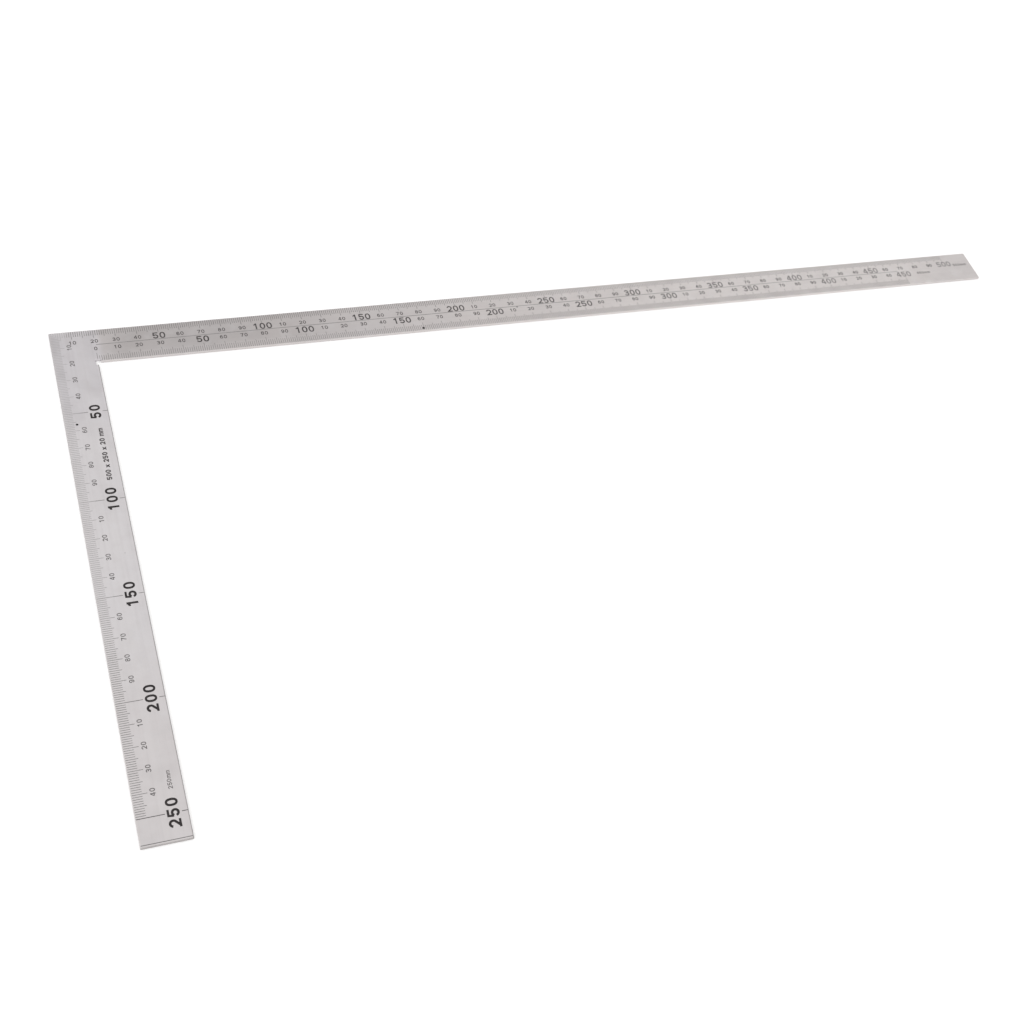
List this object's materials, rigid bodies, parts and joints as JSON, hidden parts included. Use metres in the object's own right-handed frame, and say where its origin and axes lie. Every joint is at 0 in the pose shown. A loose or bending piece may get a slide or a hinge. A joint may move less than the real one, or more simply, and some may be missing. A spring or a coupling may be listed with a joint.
{
  "type": "steel square ruler",
  "caption": "Flat L-shaped stainless steel rule with black millimetre scales on both arms, for marking and checking right angles.",
  "frame": {"origin": "the outer corner of the square on its bottom face, which is the zero of both outer scales", "axes": "+X along the outer edge of the long arm, -Y along the outer edge of the short arm, +Z out of the marked face"},
  "size_m": [0.518, 0.2617, 0.0014],
  "materials": {
    "stainless": "fine brushed along each arm, satin",
    "enamel": "matt black marking enamel"
  },
  "bodies": {
    "root": {"plate": "stainless", "outer_mm_ticks": "enamel", "outer_half_cm_ticks": "enamel", "outer_cm_ticks": "enamel", "outer_small_numerals": "enamel", "outer_large_numerals": "enamel", "inner_mm_ticks": "enamel", "inner_half_cm_ticks": "enamel", "inner_cm_ticks": "enamel", "inner_small_numerals": "enamel", "inner_large_numerals": "enamel", "centre_line": "enamel", "short_mm_ticks": "enamel", "short_half_cm_ticks": "enamel", "short_cm_ticks": "enamel", "short_cross_lines": "enamel", "short_small_numerals": "enamel", "short_large_numerals": "enamel", "short_end_line": "enamel", "outer_range_mark": "enamel", "inner_range_mark": "enamel", "short_range_mark": "enamel", "size_mark": "enamel"}
  },
  "joints": []
}
